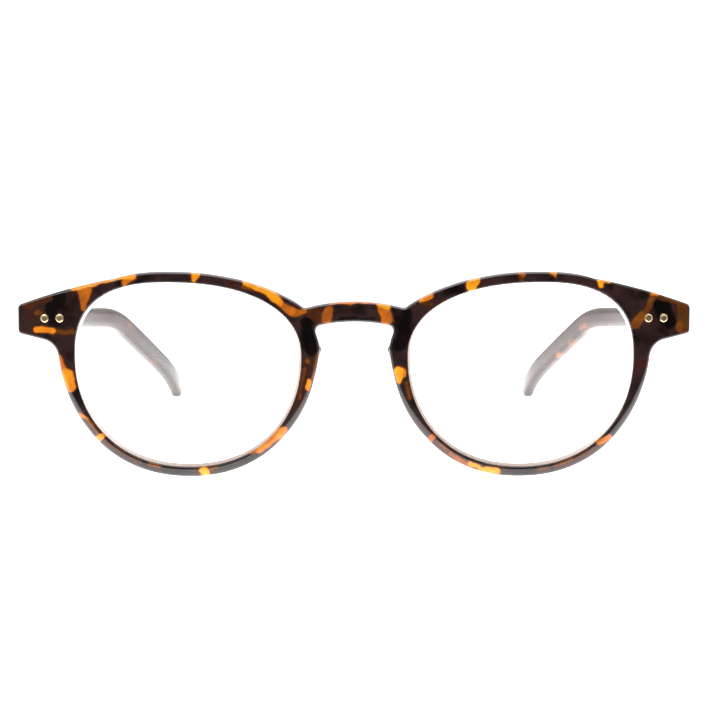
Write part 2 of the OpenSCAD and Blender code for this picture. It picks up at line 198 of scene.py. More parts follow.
def add_mesh(name, points, faces, material, normals=None):
    """A smooth mesh object from row-frame points in millimetres."""
    mesh = bpy.data.meshes.new(name)
    mesh.from_pydata((np.asarray(points) * MM).tolist(), [], [list(map(int, f)) for f in faces])
    mesh.validate()
    mesh.materials.append(material)
    mesh.shade_smooth()
    if normals is not None:
        mesh.normals_split_custom_set_from_vertices(normals.tolist())
    piece = bpy.data.objects.new(name, mesh)
    bpy.context.scene.collection.objects.link(piece)
    return piece


def place(piece, body, node):
    """Lets a piece stand for a CAD node, on that node's body."""
    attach(piece, body)
    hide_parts(node)
    return piece


def ring_faces(rings, count, flip=False):
    """Quads between a stack of rings of count points each, with a cap at both ends."""
    faces = []
    for k in range(rings - 1):
        for i in range(count):
            a, b = k * count + i, k * count + (i + 1) % count
            faces.append([a, b, b + count, a + count])
    faces.append(list(range(count))[::-1])
    faces.append([(rings - 1) * count + i for i in range(count)])
    return [f[::-1] for f in faces] if flip else faces


def smooth_where_flat(piece, degrees):
    """Keeps edges sharper than the angle crisp, and shades the rest smooth."""
    mesh = piece.data
    bm = bmesh.new()
    bm.from_mesh(mesh)
    for edge in bm.edges:
        edge.smooth = len(edge.link_faces) == 2 and edge.calc_face_angle(0) < math.radians(degrees)
    bm.to_mesh(mesh)
    bm.free()


def apply_modifiers(piece):
    evaluated = piece.evaluated_get(bpy.context.evaluated_depsgraph_get())
    mesh = bpy.data.meshes.new_from_object(evaluated)
    piece.modifiers.clear()
    old = piece.data
    piece.data = mesh
    bpy.data.meshes.remove(old)


# ---- Fields: distances to a shape, below zero inside it ----
def polygon_distance(x, z, corners):
    """Signed distance of points to a closed polygon."""
    points = np.stack([x.ravel(), z.ravel()], -1)
    nearest = np.full(len(points), np.inf)
    inside = np.zeros(len(points), bool)
    for a, b in zip(corners, np.roll(corners, -1, axis=0)):
        edge = b - a
        offset = points - a
        share = np.clip(offset @ edge / (edge @ edge), 0, 1)
        nearest = np.minimum(nearest, np.square(offset - share[:, None] * edge).sum(1))
        crosses = (a[1] > points[:, 1]) != (b[1] > points[:, 1])
        if abs(edge[1]) > 1e-9:
            inside ^= crosses & (points[:, 0] < a[0] + edge[0] * (points[:, 1] - a[1]) / edge[1])
    distance = np.sqrt(nearest)
    distance[inside] *= -1
    return distance.reshape(x.shape)


def join(a, b, fillet):
    """Union of two fields, with a fillet in the inner corner."""
    u, v = np.maximum(fillet - a, 0), np.maximum(fillet - b, 0)
    return np.maximum(fillet, np.minimum(a, b)) - np.hypot(u, v)


def meet(a, b, radius):
    """Intersection of two fields, with a rounded outer corner."""
    return -join(-a, -b, radius)


def sample(field, low, step, *coordinates):
    """Linear interpolation of a gridded field."""
    places = [np.clip((c - l) / step, 0, n - 1.001) for c, l, n in zip(coordinates, low, field.shape)]
    cells = [p.astype(int) for p in places]
    shares = [p - c for p, c in zip(places, cells)]
    total = 0
    for corner in np.ndindex(*(2,) * len(cells)):
        weight = 1
        for bit, share in zip(corner, shares):
            weight = weight * (share if bit else 1 - share)
        total = total + weight * field[tuple(c + bit for c, bit in zip(cells, corner))]
    return total


def surface_of(field, low, step):
    """Points, quads and normals of a field's zero surface: one point in each cell that it crosses."""
    shape = np.array(field.shape)
    cells, places, quads = [], [], []
    for axis in range(3):
        others = [a for a in range(3) if a != axis]
        ahead = np.roll(field, -1, axis)
        crossed = (field < 0) != (ahead < 0)
        crossed[tuple(slice(-1, None) if a == axis else slice(None) for a in range(3))] = False
        at = np.argwhere(crossed)
        here, there = field[crossed], ahead[crossed]
        point = at.astype(float)
        point[:, axis] += here / (here - there)
        corner_cells = []
        for du, dv in ((0, 0), (1, 0), (1, 1), (0, 1)):
            cell = at.copy()
            cell[:, others[0]] -= du
            cell[:, others[1]] -= dv
            corner_cells.append(np.ravel_multi_index(cell.T, shape))
        quad = np.stack(corner_cells, 1)
        forward = (here < 0) == (axis != 1)
        quad[~forward] = quad[~forward][:, ::-1]
        quads.append(quad)
        cells.append(np.concatenate(corner_cells))
        places.append(np.concatenate([point] * 4))
    cells = np.concatenate(cells)
    places = np.concatenate(places)
    ids, index = np.unique(cells, return_inverse=True)
    count = np.bincount(index)
    points = np.stack([np.bincount(index, places[:, a]) / count for a in range(3)], 1)
    faces = np.searchsorted(ids, np.concatenate(quads))
    points = low + points * step
    slopes = np.gradient(field, step)
    for settle in range(3):
        value = sample(field, low, step, *points.T)
        normal = np.stack([sample(s, low, step, *points.T) for s in slopes], 1)
        normal /= np.linalg.norm(normal, axis=1, keepdims=True) + 1e-9
        if settle < 2:
            points = points - value[:, None] * normal
    return points, faces, normal


# ---- Outlines ----
def lens_point(t, grow):
    """A point of the lens opening at angle t: four superellipse quadrants, moved outward by grow."""
    up = np.sin(t) >= 0
    out = np.cos(t) >= 0
    n = np.where(up, np.where(out, OUTER_CORNER, INNER_CORNER), LOWER_CORNER)
    mid_x = np.where(up, CROWN_SHIFT, 0)
    a = LENS_W / 2 + np.where(out, -mid_x, mid_x)
    b = np.where(up, LENS_H / 2 - WIDE_Z, LENS_H / 2 + WIDE_Z)
    c, s = np.abs(np.cos(t)), np.abs(np.sin(t))
    nx, nz = c ** (2 - 2 / n) / a, s ** (2 - 2 / n) / b
    k = grow / np.hypot(nx, nz)
    return np.stack([
        mid_x + np.where(out, 1, -1) * (a * c ** (2 / n) + k * nx),
        WIDE_Z + np.where(up, 1, -1) * (b * s ** (2 / n) + k * nz),
    ], -1)


OUTLINE_TURN = np.radians(np.arange(360))


def rim_edge():
    swell = np.interp(np.degrees(OUTLINE_TURN), *zip(*RIM_SWELL))
    edge = lens_point(OUTLINE_TURN, RIM_W + swell)
    return np.stack([LENS_X + edge[:, 0] * math.cos(LENS_TILT), edge[:, 1]], -1)


def lug_edge():
    """The lug, drawn past its end: the brow line above, the sloping lower edge below."""
    past = 1.2
    end = math.radians(LUG_END_ANGLE)
    centre = np.array([FRONT_HALF, LUG_Z + LUG_H / 2]) - BROW_R * np.array([math.sin(end), math.cos(end)])
    sweep = np.radians(np.linspace(LUG_END_ANGLE + past, LUG_END_ANGLE - LUG_ARC, 12))
    brow = centre + BROW_R * np.stack([np.sin(sweep), np.cos(sweep)], -1)
    slope = math.tan(math.radians(LUG_UNDER_SLOPE))
    under_x = np.array([LENS_EDGE_X - LENS_W / 4, brow[0, 0]])
    under_z = LUG_Z - LUG_H / 2 - (FRONT_HALF - under_x) * slope
    return np.vstack([brow, np.column_stack([under_x, under_z])])


def front_outline(x, z):
    """Distance to the front's outline, for points on the left half."""
    rim = polygon_distance(x, z, rim_edge())
    lug = meet(polygon_distance(x, z, lug_edge()), x - FRONT_HALF, LUG_CORNER)
    side = join(rim, lug, np.interp(z, LUG_FILLET_FADE, (LUG_FILLET, BROW_FILLET)))
    from_centre = np.hypot(x, z - (BRIDGE_Z - BRIDGE_R))
    bridge = np.maximum(from_centre - BRIDGE_R, BRIDGE_R - BRIDGE_H - from_centre)
    bridge = np.maximum(bridge, x - BRIDGE_R * math.sin(math.radians(BRIDGE_HALF_ANGLE)))
    return join(side, bridge, np.interp(z, NOSE_FILLET_FADE, (NOSE_FILLET, NOTCH_FILLET)))


# ---- The front ----
FRONT_STEP = 0.24
RIM_ROUND = (1.7, 0.75)     # outer edge of the face, low and high on a rim
RIM_ROUND_AT = (-8, 12)
LUG_ROUND = 0.55            # outer edge of the face, on a lug
LUG_BLEND = (-2, 3)         # where one rounding gives way to the other, from the lug's root
BACK_ROUND = 0.7            # outer edge of the back
OPENING_ROUND = 0.4         # front edge of the lens opening
OPENING_BACK_ROUND = 0.35
BUTT_ROUND = 0.3


def front_field(low, step, shape):
    """Distance to the plastic front on a grid over its left half."""
    x = low[0] + step * np.arange(shape[0])
    y = low[1] + step * np.arange(shape[1])
    z = low[2] + step * np.arange(shape[2])
    flat_x, flat_z = np.meshgrid(x, z, indexing="ij")
    outline = front_outline(flat_x, flat_z)[:, None, :]
    opening_flat = polygon_distance(flat_x - LENS_X, flat_z, lens_point(OUTLINE_TURN, 0))
    cube_x, cube_y, cube_z = (c.astype(np.float32) for c in np.meshgrid(x, y, z, indexing="ij"))
    away = cube_y - float(face_y(LENS_X))
    lens_x = (cube_x - LENS_X) * math.cos(LENS_TILT) + away * math.sin(LENS_TILT)
    opening = sample(opening_flat, (low[0], low[2]), step, lens_x + LENS_X, cube_z)
    radius = np.hypot(cube_x, cube_y - FACE_R)
    face = radius - FACE_R
    back = FACE_R - FRONT_T - radius
    dip, rise = math.sin(PANTOSCOPIC), math.cos(PANTOSCOPIC)
    along = (cube_y - HINGE_Y) * rise - (cube_z - LUG_Z) * dip
    up = (cube_y - HINGE_Y) * dip + (cube_z - LUG_Z) * rise
    butt = along + AXIS_INSET
    block = meet(butt, LENS_EDGE_X + RIM_W / 2 - cube_x, BUTT_ROUND)
    back = join(back, block, BUTT_ROUND)
    lug_start = LENS_EDGE_X + RIM_W
    on_lug = np.interp(cube_x - lug_start, LUG_BLEND, (0, 1))
    rim_round = np.interp(cube_z, RIM_ROUND_AT, RIM_ROUND)
    front_round = rim_round + on_lug * (LUG_ROUND - rim_round)
    solid = meet(meet(outline, face, front_round), back, BACK_ROUND)
    front_hole = meet(-opening, face, OPENING_ROUND)
    back_hole = meet(-opening, back, OPENING_BACK_ROUND)
    solid = np.maximum(solid, np.maximum(front_hole, back_hole))
    leaf_reach = RIVET_PITCH + RIVET_INSET + RIVET_D / 2 + RIVET_MARGIN + PLAY
    leaf = np.maximum.reduce([
        HINGE_X - leaf_reach - cube_x,
        cube_x - HINGE_X - KNUCKLE_R,
        np.abs(up) - HINGE_H / 2 - PLAY,
        -AXIS_INSET - LEAF_T - PLAY - along,
    ])
    return np.maximum(solid, -leaf)


def add_front(material):
    step = FRONT_STEP
    low = np.array([0, -0.6, -LENS_H / 2 - RIM_W - 0.6])
    high = np.array([FRONT_HALF + 0.8, HINGE_Y + 1, LENS_H / 2 + RIM_W + 0.8])
    half = front_field(low, step, np.ceil((high - low) / step).astype(int) + 1)
    whole = np.concatenate([half[:0:-1], half])
    low[0] = -step * (half.shape[0] - 1)
    points, faces, normals = surface_of(whole, low, step)
    piece = add_mesh("front", front_to_row(points), faces, material, turned(normals, LEAN))
    store_tint(piece, front_tint(points))
    return place(piece, "front", "front_frame")


# ---- Tortoiseshell: amber streaks in the dark plastic, with painted highlights and painted shade along a few edges ----
# Each streak runs between two places on the face, with a half width at each and how amber it is there.
# They are drawn as the face looks from the camera: (x, z), (x, z), (half widths), amber. A few are painted
# highlights and painted shade along edges, marked where they stand.
RIGHT_STREAKS_AND_HIGHLIGHT = [
    ((-58.6, 17.8), (-50.0, 20.0), (0.5, 0.45), 0.95), ((-50.0, 20.0), (-46.3, 20.5), (0.5, 0.6), 0.97),
    ((-46.6, 20.2), (-48.0, 18.8), (0.7, 0.5), 0.82), ((-56.3, 17.4), (-56.3, 13.6), (1.35, 0.35), 0.76),
    # The first streak on the next line, along the right lug's top edge and end, is a painted highlight and
    # painted sheen.
    ((-67.8, 14.6), (-63.8, 15.7), (1.2, 0.5), 0.34), ((-66.2, 9.2), (-62.8, 8.9), (0.55, 0.5), 0.93),
    ((-62.5, 8.7), (-58.6, 8.7), (0.35, 0.3), 0.52), ((-65.9, 12.7), (-65.6, 12.9), (0.4, 0.3), 0.5),
    ((-33.2, 21.0), (-33.7, 19.5), (1.0, 0.4), 0.97), ((-22.4, 18.9), (-17.6, 17.1), (0.65, 0.8), 0.98),
    ((-17.5, 16.7), (-15.6, 14.8), (0.8, 0.6), 0.95), ((-15.6, 14.6), (-13.0, 12.9), (0.5, 0.7), 0.8),
    ((-13.0, 12.6), (-10.4, 12.9), (0.55, 0.3), 0.74), ((-23.2, 17.9), (-21.2, 17.6), (0.25, 0.2), 0.55),
    ((-61.4, 3.4), (-60.6, 0.5), (0.25, 0.5), 0.78), ((-59.9, -0.5), (-59.2, -2.7), (1.3, 1.0), 0.93),
    ((-57.3, -8.6), (-55.6, -9.4), (0.25, 0.2), 0.85), ((-55.6, -9.4), (-53.6, -12.4), (0.15, 0.2), 0.6),
    ((-53.5, -13.7), (-52.5, -13.1), (0.5, 0.45), 1), ((-51.8, -14.5), (-45.0, -18.4), (0.3, 0.3), 0.42),
    ((-42.8, -18.9), (-40.8, -19.4), (0.3, 0.3), 0.62), ((-31.4, -20.1), (-31.0, -21.0), (0.75, 0.7), 1),
    ((-30.0, -19.9), (-28.6, -19.7), (0.1, 0.1), 0.6), ((-19.9, -15.9), (-15.0, -11.9), (0.55, 0.85), 0.9),
    ((-21.8, -16.4), (-20.0, -15.7), (0.15, 0.2), 0.8), ((-9.3, -1.4), (-9.6, -3.0), (0.3, 0.35), 0.93),
    ((-9.9, 2.7), (-9.6, 2.5), (0.4, 0.35), 0.6), ((-7.6, 3.8), (-8.6, -0.5), (0.15, 0.2), 0.5),
    ((-10.4, 1.0), (-11.5, -5.0), (0.2, 0.2), 0.45),
]
LEFT_STREAKS_AND_HIGHLIGHT = [
    ((13.9, 15.2), (15.8, 16.2), (0.3, 0.55), 0.9), ((14.2, 14.8), (16.0, 14.3), (0.4, 0.3), 0.36),
    ((24.4, 18.3), (25.2, 19.5), (1.0, 0.85), 1), ((34.6, 21.1), (35.2, 20.7), (0.5, 0.4), 0.74),
    ((34.8, 20.6), (34.8, 19.6), (0.5, 0.4), 0.42), ((41.7, 21.2), (42.1, 20.2), (0.8, 0.1), 0.95),
    ((40.6, 21.2), (41.2, 20.8), (0.4, 0.3), 0.55), ((51.4, 19.7), (51.4, 18.5), (0.7, 0.35), 1),
    ((51.6, 19.6), (53.3, 19.3), (0.5, 0.2), 0.97), ((62.3, 16.6), (63.2, 16.3), (0.3, 0.2), 0.9),
    ((62.6, 16.3), (61.5, 14.2), (0.4, 0.4), 0.58), ((61.5, 14.2), (60.4, 12.2), (0.3, 0.45), 0.5),
    ((60.0, 11.8), (58.7, 10.3), (0.7, 0.8), 0.6), ((68.6, 9.4), (68.6, 13.6), (1.1, 1.0), 0.47),
    # The last streak on the next line, just under the left lug's top edge, is a painted highlight.
    ((67.8, 9.4), (68.0, 10.2), (0.5, 0.4), 0.6), ((63.0, 16.2), (69.0, 14.5), (0.35, 0.5), 0.5),
    ((53.3, -13.4), (51.0, -14.6), (0.4, 0.3), 0.87), ((42.0, -19.4), (45.5, -17.9), (0.2, 0.2), 0.55),
    ((38.5, -20.2), (40.5, -19.8), (0.2, 0.2), 0.5), ((46.5, -17.6), (50.0, -15.7), (0.3, 0.3), 0.36),
    ((24.0, -18.8), (26.0, -19.5), (0.4, 0.3), 1), ((26.6, -20.2), (30.0, -20.4), (0.45, 0.45), 1),
    ((20.0, -16.9), (23.6, -19.2), (0.3, 0.45), 0.76), ((23.0, -19.8), (27.0, -20.9), (0.25, 0.3), 0.7),
    ((15.6, -14.2), (16.4, -13.2), (0.35, 0.35), 0.82), ((16.8, -14.2), (20.0, -16.8), (0.2, 0.2), 0.5),
    ((9.3, 0.5), (9.2, -1.9), (0.85, 0.2), 0.98), ((10.2, 0.6), (10.4, -0.3), (0.4, 0.2), 0.88),
    ((10.8, -2.0), (11.4, -5.0), (0.25, 0.2), 0.55),
]
BRIDGE_STREAKS_AND_HIGHLIGHT = [
    ((-8.4, 12.6), (-7.2, 11.8), (1.2, 1.1), 0.36), ((-5.7, 11.3), (-5.4, 13.3), (0.8, 0.8), 0.72),
    # The first streak on the next line, thin along the bridge's top edge, is a painted highlight.
    ((-5.0, 14.8), (4.4, 15.0), (0.2, 0.25), 0.88), ((5.3, 14.5), (7.0, 13.9), (0.5, 0.5), 0.98),
    ((6.2, 13.6), (6.8, 11.3), (1.2, 1.1), 0.79),
]
# Black islands in the plastic, and one strip of painted shade.
BLACK_STREAKS_AND_SHADE = [
    ((-62.0, 15.6), (-63.6, 12.6), (1.6, 0.8), -0.2), ((64.3, 14.0), (65.6, 10.6), (1.4, 1.0), -0.25),
    ((9.6, 6.0), (11.0, 12.6), (1.0, 0.8), -0.2), ((-9.0, 5.0), (-10.2, 10.5), (1.0, 0.8), -0.25),
    # The first streak on the next line, along the bridge's lower edge, is painted shade.
    ((-3.0, 11.2), (4.0, 11.2), (0.3, 0.3), -0.15), ((17.0, 16.0), (21.0, 17.6), (0.5, 0.5), -0.15),
]
STREAK_SOFT = 0.55          # how far a streak's colour fades out
DRAWN_RISE = -0.57          # height of the lenses' middle on the drawing
WARP = 0.1                  # how far the streaks' edges wander
WARP_WAVES = 10
SHORT_WAVE, LONG_WAVE = 1.5, 6


def wander(x, z, seed):
    """A smooth field of wandering offsets, from waves in seeded directions."""
    rng = np.random.default_rng(seed)
    total = np.zeros(len(x))
    for _ in range(WARP_WAVES):
        heading, phase = rng.uniform(0, 2 * math.pi, 2)
        wave = 2 * math.pi / rng.uniform(SHORT_WAVE, LONG_WAVE)
        total += np.sin(wave * (x * math.cos(heading) + z * math.sin(heading)) + phase)
    return total * WARP / math.sqrt(WARP_WAVES / 2)


def as_seen(points):
    """Places on the front as the camera sees them, on a plane at the foremost line of the face."""
    level = turned(points, LEAN - CAMERA_LIFT)
    nearness = 1 + level[:, 1] / CAMERA_DISTANCE
    return level[:, 0] / nearness, level[:, 2] / nearness + DRAWN_RISE


def streak_amount(x, z, start, end, widths):
    """1 within a streak, fading to 0 round it."""
    run = np.subtract(end, start)
    share = np.clip(((x - start[0]) * run[0] + (z - start[1]) * run[1]) / (run @ run), 0, 1)
    away = np.hypot(x - start[0] - share * run[0], z - start[1] - share * run[1])
    fade = 1 - np.clip((away - widths[0] - share * (widths[1] - widths[0])) / STREAK_SOFT, 0, 1)
    return fade * fade * (3 - 2 * fade)


def front_tint(points):
    """How amber the plastic is at each point, from 1 down to 0, and below 0 where it is black; a few streaks
    paint highlights along the lugs' and bridge's top edges and shade along the bridge's lower edge.
    """
    x, z = as_seen(points)
    x, z = x + wander(x, z, 3), z + wander(x, z, 8)
    tint = np.zeros(len(points))
    for start, end, widths, strength in BLACK_STREAKS_AND_SHADE:
        tint = np.minimum(tint, strength * streak_amount(x, z, start, end, widths))
    for start, end, widths, strength in RIGHT_STREAKS_AND_HIGHLIGHT + LEFT_STREAKS_AND_HIGHLIGHT + BRIDGE_STREAKS_AND_HIGHLIGHT:
        amount = streak_amount(x, z, start, end, widths)
        tint = np.maximum(tint, tint * (1 - amount) + strength * amount)
    return tint


def store_tint(piece, values):
    layer = piece.data.attributes.new("tint", "FLOAT", "POINT")
    layer.data.foreach_set("value", np.asarray(values, np.float32))


# ---- Temples ----
LEAF_ZONE = 22
BOW_ANGLE = 17
EAR_START = TEMPLE_LENGTH - EAR_LENGTH
EAR_TURN = 14
TAIL_LENGTH = 18
BOW = [
    (0, 0), (LEAF_ZONE, 0), (2 * LEAF_ZONE, 2), (EAR_START, BOW_ANGLE),
    (TEMPLE_LENGTH - TAIL_LENGTH, BOW_ANGLE - 2), (TEMPLE_LENGTH, 2),
]
DROP = [
    (0, 0), (EAR_START, 0), (EAR_START + EAR_TURN, EAR_BEND),
    (TEMPLE_LENGTH - TAIL_LENGTH, EAR_BEND), (TEMPLE_LENGTH, EAR_BEND + 5),
]
THICKNESS = [(0, TEMPLE_T), (LEAF_ZONE, TEMPLE_T), (70, TIP_T + 0.3), (TEMPLE_LENGTH, TIP_T)]
HEIGHT = [(0, TEMPLE_H), (LEAF_ZONE, TEMPLE_H), (70, TIP_H + 0.4), (TEMPLE_LENGTH, TIP_H)]
TIP_ROUND = 2.4
SECTION_POWER = 3.2         # squareness of a section, where 2 is an ellipse
BUTT_BEVEL = 0.25
RING_POINTS = 48
WALK_STEP = 0.5


def along_temple():
    """Distances of the rings from the butt, with how far each is drawn in."""
    straight = np.arange(BUTT_BEVEL, TEMPLE_LENGTH - TIP_ROUND, 0.8)
    tip = np.sin(np.radians(np.linspace(0, 88, 12)))
    bevel = [(0, 1, BUTT_BEVEL)]
    rings = [(s, 1, 0) for s in straight]
    rings += [(TEMPLE_LENGTH - TIP_ROUND + TIP_ROUND * t, math.sqrt(1 - t * t), 0) for t in tip]
    return bevel + rings


def middle_line(distances):
    """Places on the temple's middle line and the two directions of its section there."""
    walk = np.arange(0, TEMPLE_LENGTH + WALK_STEP, WALK_STEP)
    half = walk[:-1] + WALK_STEP / 2
    bow, drop = (np.radians(np.interp(half, *zip(*table))) for table in (BOW, DROP))
    steps = WALK_STEP * np.stack([-np.sin(bow) * np.cos(drop), np.cos(bow) * np.cos(drop), -np.sin(drop)], -1)
    butt = np.array([AXIS_INSET + TEMPLE_T / 2, HINGE_PLAY - AXIS_INSET, 0])
    line = butt + np.vstack([np.zeros(3), np.cumsum(steps, 0)])
    at = np.stack([np.interp(distances, walk, line[:, a]) for a in range(3)], -1)
    bow, drop = (np.radians(np.interp(distances, *zip(*table))) for table in (BOW, DROP))
    across = np.stack([np.cos(bow), np.sin(bow), 0 * bow], -1)
    upward = np.stack([-np.sin(bow) * np.sin(drop), np.cos(bow) * np.sin(drop), np.cos(drop)], -1)
    return at, across, upward


def section(width, height):
    """A superellipse, as points across and up."""
    turn = 2 * math.pi * np.arange(RING_POINTS) / RING_POINTS
    c, s = np.cos(turn), np.sin(turn)
    power = 2 / SECTION_POWER
    return np.stack([
        width / 2 * np.sign(c) * np.abs(c) ** power,
        height / 2 * np.sign(s) * np.abs(s) ** power,
    ], -1)


def temple_points():
    rings = along_temple()
    distances = np.array([r[0] for r in rings])
    at, across, upward = middle_line(distances)
    width = np.interp(distances, *zip(*THICKNESS))
    height = np.interp(distances, *zip(*HEIGHT))
    points = []
    for i, (_, scale, inset) in enumerate(rings):
        flat = section(width[i] * scale - 2 * inset, height[i] * scale - 2 * inset)
        points.append(at[i] + flat[:, :1] * across[i] + flat[:, 1:] * upward[i])
    return np.concatenate(points), len(rings)


def box_mesh(name, low, high, side):
    spans = list(zip(low, high))
    corners = np.array([[x, y, z] for x in spans[0] for y in spans[1] for z in spans[2]])
    faces = [[0, 1, 3, 2], [4, 6, 7, 5], [0, 4, 5, 1], [2, 3, 7, 6], [0, 2, 6, 4], [1, 5, 7, 3]]
    mesh = bpy.data.meshes.new(name)
    mesh.from_pydata((mirrored(hinge_to_row(corners), side) * MM).tolist(), [], faces)
    bm = bmesh.new()
    bm.from_mesh(mesh)
    bmesh.ops.recalc_face_normals(bm, faces=bm.faces)
    bm.to_mesh(mesh)
    bm.free()
    box = bpy.data.objects.new(name, mesh)
    bpy.context.scene.collection.objects.link(box)
    return box


def cut(piece, cutter):
    """Cuts a helper solid out of a piece and removes the helper."""
    boolean = piece.modifiers.new("pocket", "BOOLEAN")
    boolean.object = cutter
    boolean.solver = "EXACT"
    apply_modifiers(piece)
    bpy.data.objects.remove(cutter)


def add_temple(name, side, material):
    points, rings = temple_points()
    row = mirrored(hinge_to_row(points), side)
    piece = add_mesh("arm_" + name, row, ring_faces(rings, RING_POINTS, side == RIGHT), material)
    leaf_end = TEMPLE_RIVET_AT + RIVET_PITCH + RIVET_D / 2 + RIVET_MARGIN
    leaf_top = HINGE_H / 2 - TEMPLE_LEAF_INSET + PLAY
    pocket = box_mesh(
        "pocket_" + name,
        [AXIS_INSET - 1, TEMPLE_LEAF_START - PLAY, -leaf_top],
        [AXIS_INSET + LEAF_T, leaf_end + PLAY, leaf_top],
        side,
    )
    cut(piece, pocket)
    smooth_where_flat(piece, 35)
    return place(piece, "temple_" + name, "temple_" + name)


# ---- Lenses ----
LENS_RINGS = 28
LENS_TURNS = 160
FACET_W = 0.62              # widest width of the ground bevel round the front of the lens
FACET_NARROW = 0.4          # its width at the temple side
FACET_RISE = 0.8            # how far the bevel's outer edge stands forward, behind the rim's lip
FACET_PLAY = 0.02
EDGE_DROP = 0.35            # how far the edge in the groove lies behind the lens's front


def facet_width_and_painted_shade(turn):
    """How wide the bevel is and how dark its painted shade is: 1 below and by the nose, near 0 above and by
    the temple.
    """
    return np.clip(0.5 - 0.35 * np.cos(turn) - 0.45 * np.sin(turn), 0, 1)


def sag(flat, radius):
    """How far a spherical surface lies behind its middle."""
    return radius - np.sqrt(radius ** 2 - np.square(flat).sum(-1))


def lens_profile(turn):
    """Rings of a lens from the middle of its front over its edge to the middle of its back."""
    clear = lens_point(turn, -FACET_NARROW - (FACET_W - FACET_NARROW) * facet_width_and_painted_shade(turn))
    lip = lens_point(turn, -FACET_PLAY)
    edge = lens_point(turn, GROOVE_DEPTH)
    shares = np.linspace(0, 1, LENS_RINGS)[1:]
    front = [(share * clear, sag(share * clear, LENS_FRONT_R)) for share in shares]
    back = [(share * edge, LENS_MID_T + sag(share * edge, LENS_BACK_R)) for share in shares[::-1]]
    shoulder = sag(lip, LENS_FRONT_R)
    bevel = [
        (lip, shoulder - FACET_RISE), (lip, shoulder + EDGE_DROP),
        (edge, sag(edge, LENS_FRONT_R) + EDGE_DROP),
    ]
    return front + bevel + back


def add_lens(name, side, material, ground):
    turn = np.linspace(0, 2 * math.pi, LENS_TURNS, endpoint=False)
    rings = lens_profile(turn)
    local = np.vstack([np.column_stack([flat[:, 0], LENS_DEPTH + y, flat[:, 1]]) for flat, y in rings])
    middles = [[0, LENS_DEPTH, 0], [0, LENS_DEPTH + LENS_MID_T, 0]]
    local = np.vstack([local, middles])
    front_middle, back_middle = len(local) - 2, len(local) - 1
    last = (len(rings) - 1) * LENS_TURNS
    faces = []
    for i in range(LENS_TURNS):
        j = (i + 1) % LENS_TURNS
        faces.append([front_middle, i, j])
        faces.append([back_middle, last + j, last + i])
        for k in range(len(rings) - 1):
            a, b = k * LENS_TURNS + i, k * LENS_TURNS + j
            faces.append([a, a + LENS_TURNS, b + LENS_TURNS, b])
    c, s = math.cos(LENS_TILT), math.sin(LENS_TILT)
    points = np.stack([
        LENS_X + local[:, 0] * c - local[:, 1] * s,
        float(face_y(LENS_X)) + local[:, 1] * c + local[:, 0] * s,
        local[:, 2],
    ], -1)
    if side == RIGHT:
        faces = [f[::-1] for f in faces]
    piece = add_mesh("glazing_" + name, mirrored(front_to_row(points), side), faces, material)
    piece.data.materials.append(ground)
    ground_rings = range(LENS_RINGS - 2, LENS_RINGS + 1)
    per_turn = len(rings) + 1
    for i, face in enumerate(piece.data.polygons):
        if i % per_turn - 2 in ground_rings:
            face.material_index = 1
    # Painted shade on the bevel, darker below and by the nose, stored for its material.
    shade = np.append(np.tile(facet_width_and_painted_shade(turn), len(rings)), [0, 0])
    store_tint(piece, shade)
    smooth_where_flat(piece, 12)
    return place(piece, "front", "lens_" + name)


# ---- Nose pads ----
PAD_TINT = -0.1             # nearly black
PAD_BALLS = [               # inward of the lens's nose side, behind the front's back, up, radius
    (2.2, 0, 7.6, 1.1), (2.9, 0.4, 5.2, 1.3), (2.1, 3, 4.2, 1.2),
    (1.4, 4.2, 0.2, 1.2), (0.7, 2.6, -3.4, 1), (-0.4, 0.4, -6, 1),
]
PAD_VOXEL = 0.16
PAD_SMOOTHINGS = 8


def add_pad(name, side, material):
    bm = bmesh.new()
    for inward, behind, z, radius in PAD_BALLS:
        middle = Matrix.Translation((LENS_GAP / 2 - inward, FRONT_T + behind, z))
        bmesh.ops.create_icosphere(bm, subdivisions=3, radius=radius, matrix=middle)
    hull = bmesh.ops.convex_hull(bm, input=bm.verts)
    spare = [g for g in hull["geom_interior"] + hull["geom_unused"] if isinstance(g, bmesh.types.BMVert)]
    bmesh.ops.delete(bm, geom=spare, context="VERTS")
    points = np.array([v.co for v in bm.verts])
    index = {v: i for i, v in enumerate(bm.verts)}
    faces = [[index[v] for v in f.verts] for f in bm.faces]
    bm.free()
    piece = add_mesh("pad_" + name, mirrored(front_to_row(points), side), faces, material)
    remesh = piece.modifiers.new("even", "REMESH")
    remesh.mode = "VOXEL"
    remesh.voxel_size = PAD_VOXEL * MM
    soften = piece.modifiers.new("soften", "SMOOTH")
    soften.factor = 0.5
    soften.iterations = PAD_SMOOTHINGS
    apply_modifiers(piece)
    piece.data.shade_smooth()
    store_tint(piece, np.full(len(piece.data.vertices), PAD_TINT))
    return place(piece, "front", "nose_pad_" + name)


# ---- Rivets ----
RIVET_TURNS = 40


def rivet_profile(length):
    """Radius and height of a rivet from its tail to its domed head, whose crown stands just proud."""
    r = RIVET_D / 2
    return [
        (0, -length), (r * 0.6, -length), (r, -length + 0.2), (r, -0.02), (r - 0.05, 0.05),
        (r - 0.22, 0.12), (r - 0.3, 0.07), (r * 0.4, 0.1), (0, 0.11),
    ]


def add_rivet(name, node, body, head, outward, length, material):
    """A turned rivet whose head is centred on a point of the surface."""
    profile = rivet_profile(length)
    turn = np.linspace(0, 2 * math.pi, RIVET_TURNS, endpoint=False)
    points = [
        (r * math.cos(a), r * math.sin(a), h) for r, h in profile[1:-1] for a in turn
    ]
    rings = len(profile) - 2
    frame_of = Vector(outward).to_track_quat("Z", "Y").to_matrix()
    placed = np.array(points) @ np.array(frame_of).T + np.asarray(head)
    piece = add_mesh(name, placed, ring_faces(rings, RIVET_TURNS), material)
    smooth_where_flat(piece, 40)
    return place(piece, body, node)


